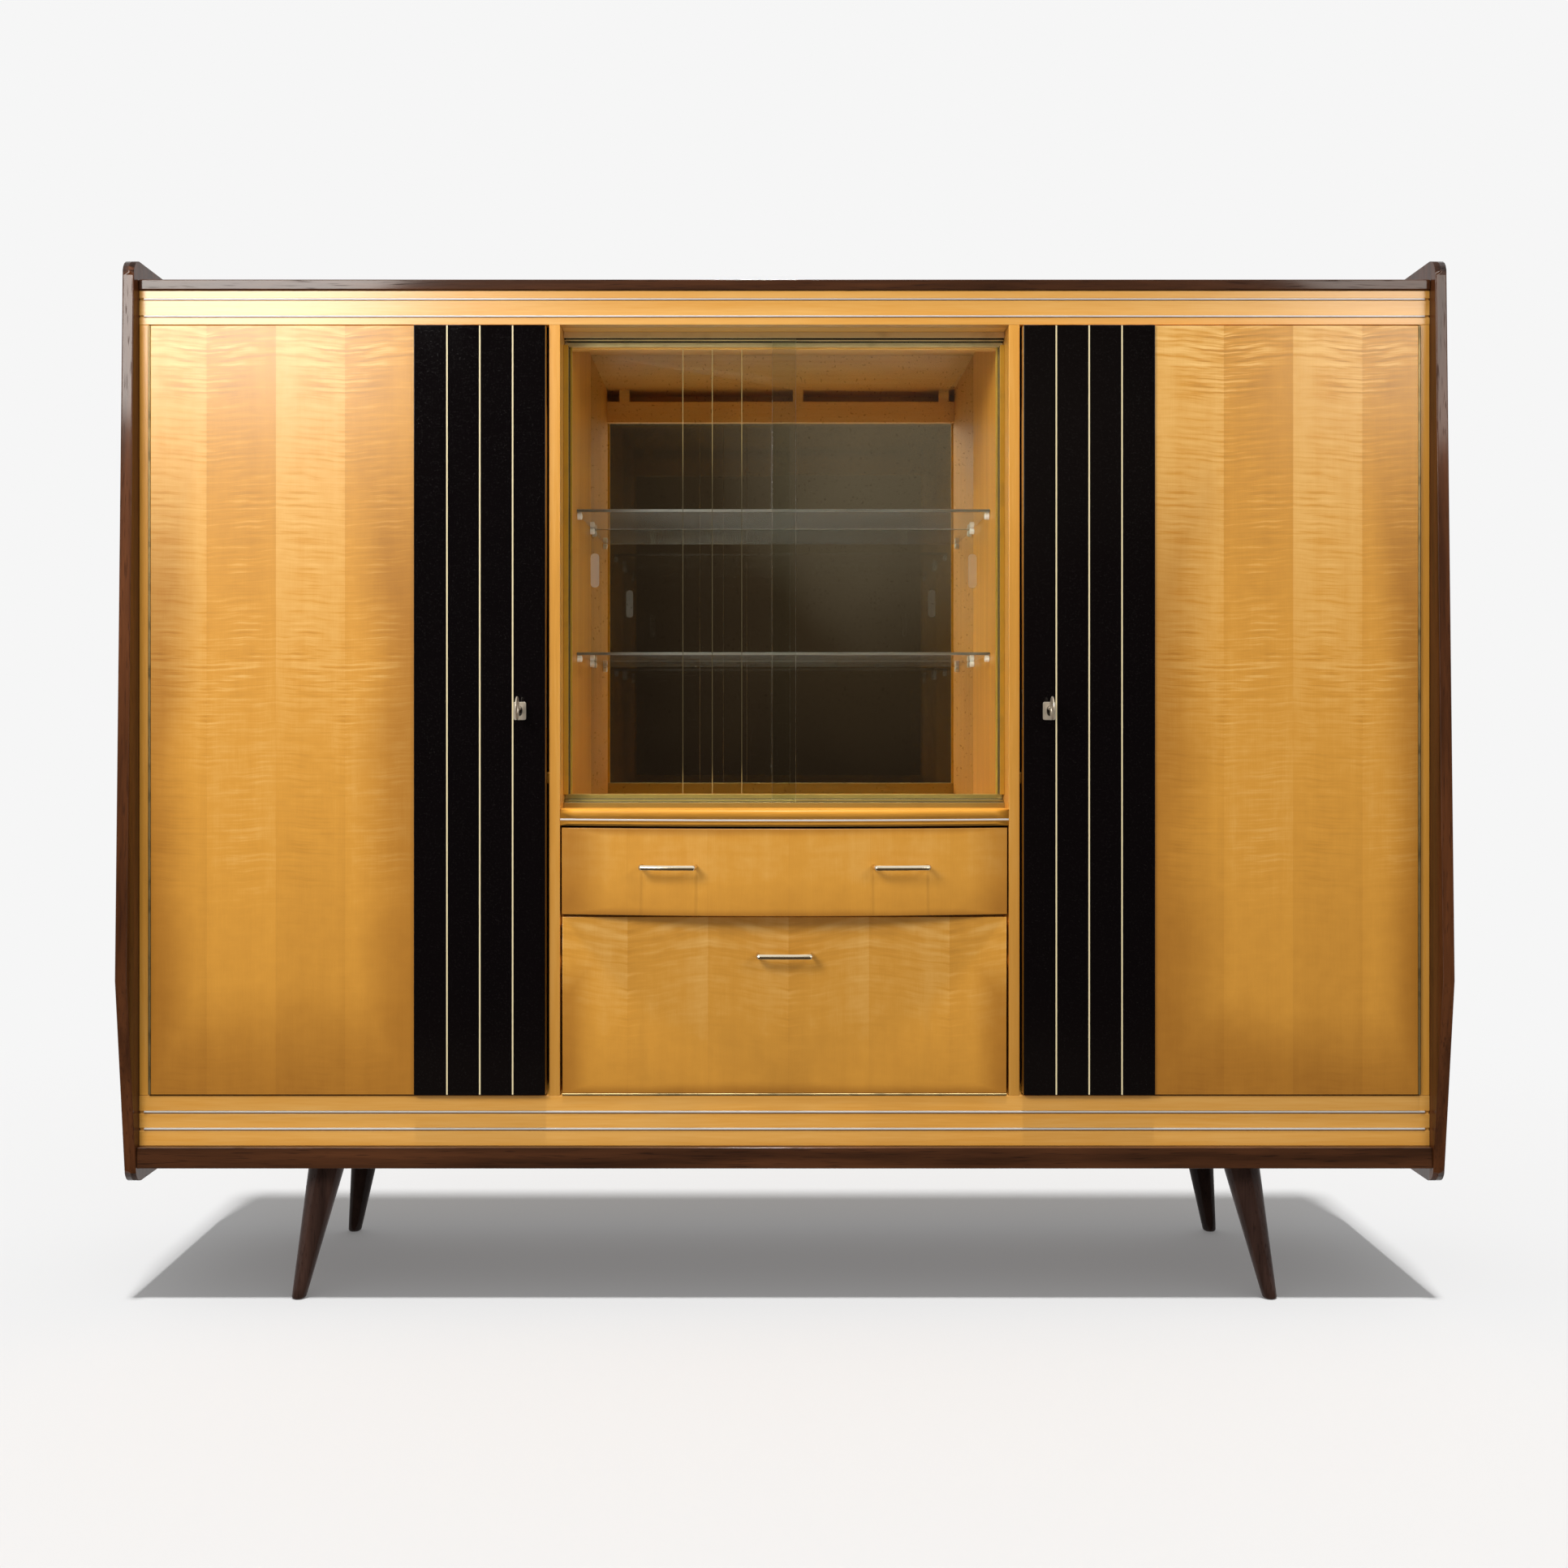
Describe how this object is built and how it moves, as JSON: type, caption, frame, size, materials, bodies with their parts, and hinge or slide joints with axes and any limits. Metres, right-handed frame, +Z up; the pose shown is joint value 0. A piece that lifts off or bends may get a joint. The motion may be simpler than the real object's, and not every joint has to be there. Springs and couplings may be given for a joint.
{
  "type": "bar cabinet",
  "caption": "Free-standing sideboard with hinged side doors, a glazed mirror showcase with sliding panes, a bow-fronted drawer and a drop-down bar flap on splayed legs.",
  "frame": {"origin": "on the floor, under the middle of the whole cabinet", "axes": "+X to the right seen from the front, +Y to the back, +Z up"},
  "size_m": [2.2, 0.4672, 1.742],
  "materials": {
    "walnut": "satin lacquered dark walnut",
    "leg_wood": "dark stained beech, lacquered",
    "maple": "high gloss lacquered figured maple",
    "black_glass": "polished black glass",
    "aluminium": "satin drawn strip",
    "brass": "lacquered brass profile",
    "nickel": "nickel plated",
    "steel": "bright steel",
    "mirror": "silvered glass",
    "plywood": "plain plywood",
    "clear_glass": "clear float glass with ground edges"
  },
  "bodies": {
    "cabinet": {"top_board": "walnut", "bottom_board": "walnut", "back_panel": "plywood", "carcass_floor": "maple", "upper_fascia": "maple", "upper_fascia_high_trim": "aluminium", "upper_fascia_low_trim": "aluminium", "lower_fascia": "maple", "lower_fascia_high_trim": "aluminium", "lower_fascia_low_trim": "aluminium", "vitrine_floor": "maple", "lip_trim": "aluminium", "vitrine_ceiling": "maple", "mirror": "mirror", "lower_glass_track": "brass", "upper_glass_track": "brass", "lower_glass_shelf": "clear_glass", "upper_glass_shelf": "clear_glass", "drawer_shelf": "maple", "fascia_hinge_leaf": "brass", "left_side_panel": "walnut", "front_left_leg": "leg_wood", "rear_left_leg": "leg_wood", "left_stile": "maple", "left_partition": "maple", "left_cupboard_shelf": "maple", "left_stile_hinge_leaf": "brass", "left_vitrine_lining": "maple", "left_glass_channel": "brass", "right_side_panel": "walnut", "front_right_leg": "leg_wood", "rear_right_leg": "leg_wood", "right_stile": "maple", "right_partition": "maple", "right_cupboard_shelf": "maple", "right_stile_hinge_leaf": "brass", "right_vitrine_lining": "maple", "right_glass_channel": "brass"},
    "left_door": {"left_door": "maple", "left_door_black_panel": "black_glass", "left_door_lock": "nickel", "left_door_hinge_leaf": "brass"},
    "left_key": {"left_door_key": "nickel"},
    "left_bolt": {"left_door_bolt": "steel"},
    "left_pane": {"left_glass_pane": "clear_glass"},
    "right_door": {"right_door": "maple", "right_door_black_panel": "black_glass", "right_door_lock": "nickel", "right_door_hinge_leaf": "brass"},
    "right_key": {"right_door_key": "nickel"},
    "right_bolt": {"right_door_bolt": "steel"},
    "right_pane": {"right_glass_pane": "clear_glass"},
    "drawer": {"drawer_front": "maple", "drawer_box": "maple", "left_drawer_handle": "nickel", "right_drawer_handle": "nickel"},
    "flap": {"bar_flap": "maple", "flap_handle": "nickel", "flap_hinge_leaf": "brass"},
    "stay": {"flap_stay": "brass"}
  },
  "joints": [
    {"name": "left_door_hinge", "type": "hinge", "parent": "cabinet", "child": "left_door", "pos_m": [-1.06195, -0.17995, 0.9898], "axis": [0, 0, -1], "range_deg": [0, 105]},
    {"name": "left_key_turn", "type": "hinge", "parent": "left_door", "child": "left_key", "pos_m": [-0.4415, -0.18865, 0.9925], "axis": [0, 1, 0], "range_deg": [0, 180]},
    {"name": "left_bolt_slide", "type": "slide", "parent": "left_door", "child": "left_bolt", "axis": [1, 0, 0], "range_m": [0, 0.012]},
    {"name": "left_pane_slide", "type": "slide", "parent": "cabinet", "child": "left_pane", "axis": [1, 0, 0], "range_m": [0, 0.352]},
    {"name": "right_door_hinge", "type": "hinge", "parent": "cabinet", "child": "right_door", "pos_m": [1.06195, -0.17995, 0.9898], "axis": [0, 0, 1], "range_deg": [0, 105]},
    {"name": "right_key_turn", "type": "hinge", "parent": "right_door", "child": "right_key", "pos_m": [0.4415, -0.18865, 0.9925], "axis": [0, -1, 0], "range_deg": [0, 180]},
    {"name": "right_bolt_slide", "type": "slide", "parent": "right_door", "child": "right_bolt", "axis": [-1, 0, 0], "range_m": [0, 0.012]},
    {"name": "right_pane_slide", "type": "slide", "parent": "cabinet", "child": "right_pane", "axis": [-1, 0, 0], "range_m": [0, 0.352]},
    {"name": "drawer_slide", "type": "slide", "parent": "cabinet", "child": "drawer", "axis": [0, -1, 0], "range_m": [0, 0.3]},
    {"name": "flap_hinge", "type": "hinge", "parent": "cabinet", "child": "flap", "pos_m": [0, -0.17635, 0.3462], "axis": [1, 0, 0], "range_deg": [0, 90]},
    {"name": "stay_pivot", "type": "hinge", "parent": "flap", "child": "stay", "pos_m": [-0.3673, -0.14635, 0.4962], "axis": [1, 0, 0], "range_deg": [-45, 0]}
  ],
  "couplings": [
    {"joint": "left_bolt_slide", "follows": "left_key_turn", "m_per_rad": 0.0038},
    {"joint": "right_bolt_slide", "follows": "right_key_turn", "m_per_rad": 0.0038},
    {"joint": "stay_pivot", "follows": "flap_hinge", "ratio": -0.5}
  ]
}
